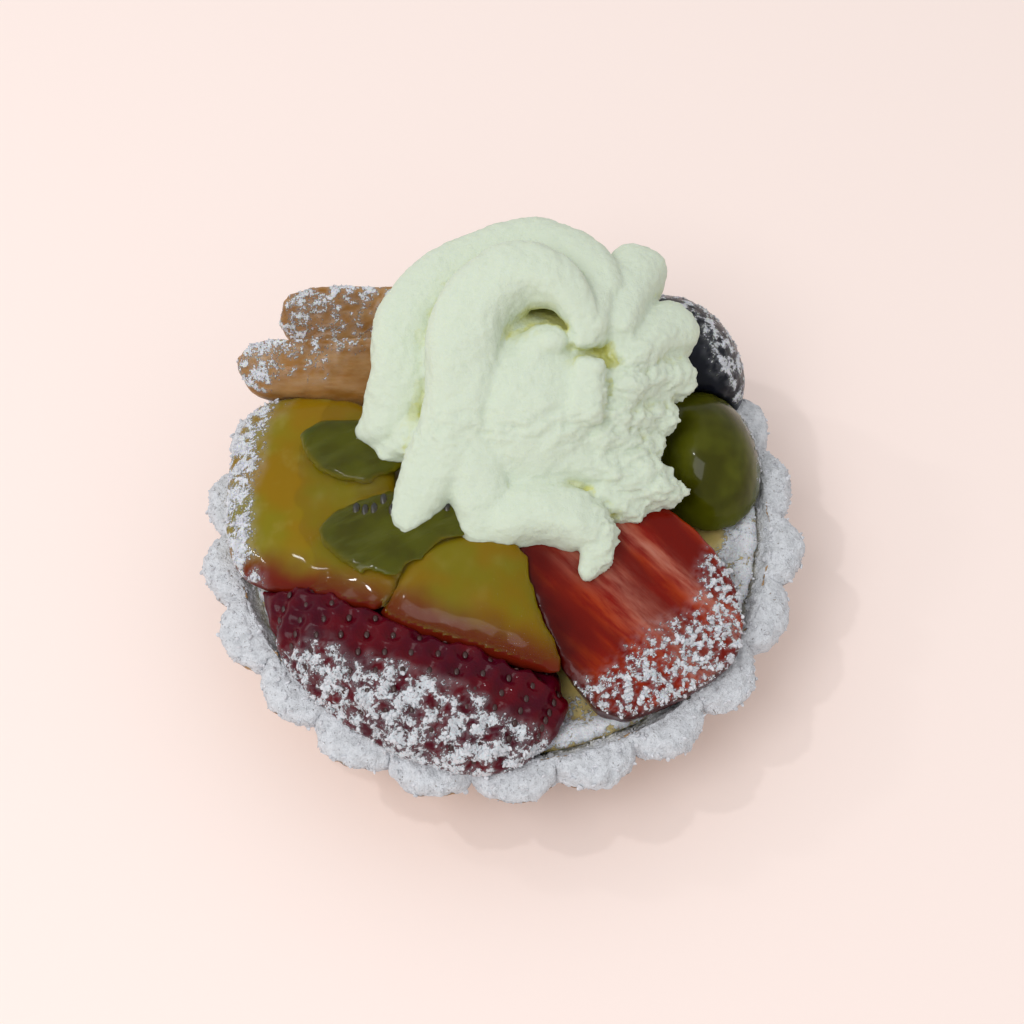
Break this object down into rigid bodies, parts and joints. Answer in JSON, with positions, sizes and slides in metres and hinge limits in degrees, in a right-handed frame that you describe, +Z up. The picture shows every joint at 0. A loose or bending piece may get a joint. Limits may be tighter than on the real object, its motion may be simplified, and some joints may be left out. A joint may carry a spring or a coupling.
{
  "type": "fruit tart",
  "caption": "Round shortcrust tartlet with a fluted shell, custard, glazed cut fruit dusted with icing sugar and a piped rosette of whipped cream.",
  "frame": {"origin": "middle of the flat base of the pastry shell", "axes": "+Z up out of the tart, -Y towards the eater, who has the strawberries nearest, +X to the eater's right"},
  "size_m": [0.0896, 0.09, 0.0531],
  "materials": {
    "baked_pastry": "baked shortcrust under icing sugar",
    "custard": "soft and moist",
    "golden_fruit": "wet under clear glaze",
    "peach": "wet under clear glaze",
    "kiwi": "wet under clear glaze",
    "strawberry": "glossy dimpled skin",
    "green_grape": "glossy skin",
    "black_grape": "glossy skin",
    "whipped_cream": "soft whipped cream"
  },
  "bodies": {
    "root": {"pastry_shell": "baked_pastry", "custard": "custard", "golden_slice": "golden_fruit", "golden_wedge": "golden_fruit", "peach_slice_back": "peach", "peach_slice_front": "peach", "kiwi_piece_back": "kiwi", "kiwi_piece_front": "kiwi", "strawberry_skin_up": "strawberry", "strawberry_cut_up": "strawberry", "green_grape_half": "green_grape", "black_grape_half": "black_grape", "cream_rosette": "whipped_cream"}
  },
  "joints": []
}
